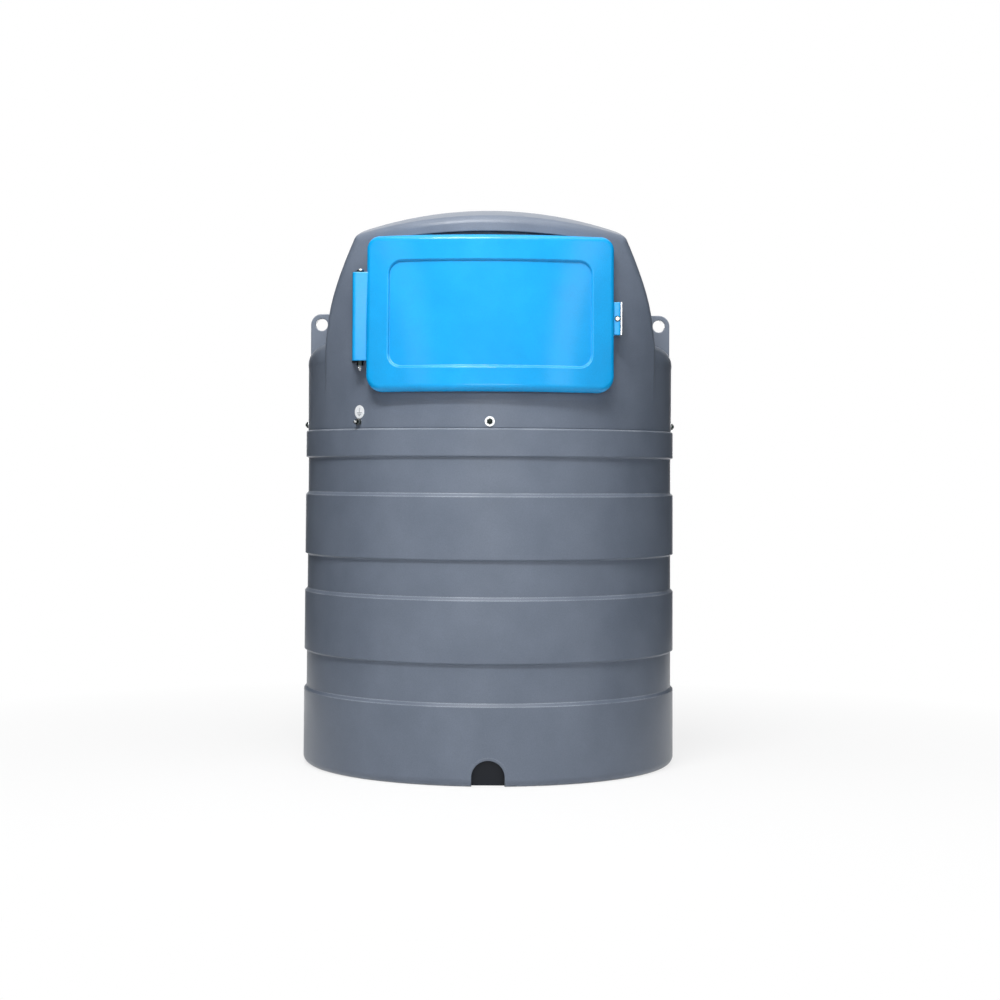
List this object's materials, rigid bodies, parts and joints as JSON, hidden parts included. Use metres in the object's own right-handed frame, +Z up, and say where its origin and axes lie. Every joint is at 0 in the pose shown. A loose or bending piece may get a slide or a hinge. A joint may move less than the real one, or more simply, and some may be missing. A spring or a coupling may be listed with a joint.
{
  "type": "diesel exhaust fluid tank",
  "caption": "Round bunded storage tank with raised bands, a domed hood, lifting lugs and a hinged cabinet door over the pump, meter and fill point.",
  "frame": {"origin": "on the ground at the centre of the round foot of the tub", "axes": "+Z up, the door faces -Y, +X to the right when looking at the door"},
  "size_m": [1.212, 1.2369, 1.7878],
  "materials": {
    "grey_polyethylene": "rotomoulded, satin",
    "blue_polyethylene": "rotomoulded, satin",
    "stainless_steel": "brushed",
    "zinc_plated_steel": "zinc plated",
    "dark_steel": "blackened",
    "black_plastic": "moulded",
    "cast_aluminium": "cast, tumbled",
    "rubber_seal": "matt",
    "white_vinyl": "glossy film",
    "clear_window": "polished",
    "red_plastic": "moulded"
  },
  "bodies": {
    "tank": {"bund_tub": "grey_polyethylene", "inner_tank": "grey_polyethylene", "hinge_bracket": "dark_steel", "hinge_screws": "zinc_plated_steel", "hinge_pin": "zinc_plated_steel", "hinge_nut": "dark_steel", "hinge_washers": "black_plastic", "lock_keeper": "zinc_plated_steel", "keeper_screws": "zinc_plated_steel", "rim_washers": "stainless_steel", "rim_bolts": "stainless_steel", "rim_nuts": "dark_steel", "earth_stud": "zinc_plated_steel", "earth_washers": "stainless_steel", "earth_nuts": "dark_steel", "earth_label": "white_vinyl", "service_gasket": "rubber_seal", "service_cover": "black_plastic", "service_screws": "stainless_steel", "suction_lance": "stainless_steel", "foot_strainer": "black_plastic", "level_probe": "stainless_steel", "tank_vent": "black_plastic", "fill_pipe": "stainless_steel", "fill_screws": "stainless_steel", "mounting_plate": "stainless_steel", "plate_screws": "stainless_steel", "valve_body": "stainless_steel", "suction_pipe": "stainless_steel", "pump_head": "cast_aluminium", "pump_motor": "cast_aluminium", "terminal_box": "black_plastic", "transfer_pipe": "stainless_steel", "meter_body": "black_plastic", "meter_window": "clear_window", "hose_tail": "stainless_steel", "nozzle_holster": "black_plastic", "cable_gland": "black_plastic"},
    "door": {"cabinet_door": "blue_polyethylene", "door_seal": "rubber_seal", "lock_body": "dark_steel"},
    "lock": {"lock_cam": "stainless_steel"},
    "cap": {"fill_cap": "black_plastic"},
    "valve_lever": {"valve_handle": "stainless_steel"},
    "switch": {"switch_rocker": "red_plastic"},
    "button_left": {"meter_button_left": "black_plastic"},
    "button_right": {"meter_button_right": "black_plastic"}
  },
  "joints": [
    {"name": "door_hinge", "type": "hinge", "parent": "tank", "child": "door", "pos_m": [-0.397, -0.478, 1.418], "axis": [0, 0, -1], "range_deg": [0, 110]},
    {"name": "lock_turn", "type": "hinge", "parent": "door", "child": "lock", "pos_m": [0.388, -0.475, 1.415], "axis": [0, -1, 0], "range_deg": [0, 90]},
    {"name": "fill_cap_lift", "type": "slide", "parent": "tank", "child": "cap", "axis": [0, 0, 1], "range_m": [0, 0.04]},
    {"name": "valve_turn", "type": "hinge", "parent": "tank", "child": "valve_lever", "pos_m": [0.17, -0.35, 1.269], "axis": [0, 1, 0], "range_deg": [0, 90]},
    {"name": "pump_switch", "type": "hinge", "parent": "tank", "child": "switch", "pos_m": [0.1725, -0.248, 1.511], "axis": [1, 0, 0], "range_deg": [0, 16]},
    {"name": "button_left_press", "type": "slide", "parent": "tank", "child": "button_left", "axis": [0, 1, 0], "range_m": [0, 0.0015], "stiffness_N_per_m": 300},
    {"name": "button_right_press", "type": "slide", "parent": "tank", "child": "button_right", "axis": [0, 1, 0], "range_m": [0, 0.0015], "stiffness_N_per_m": 300}
  ]
}
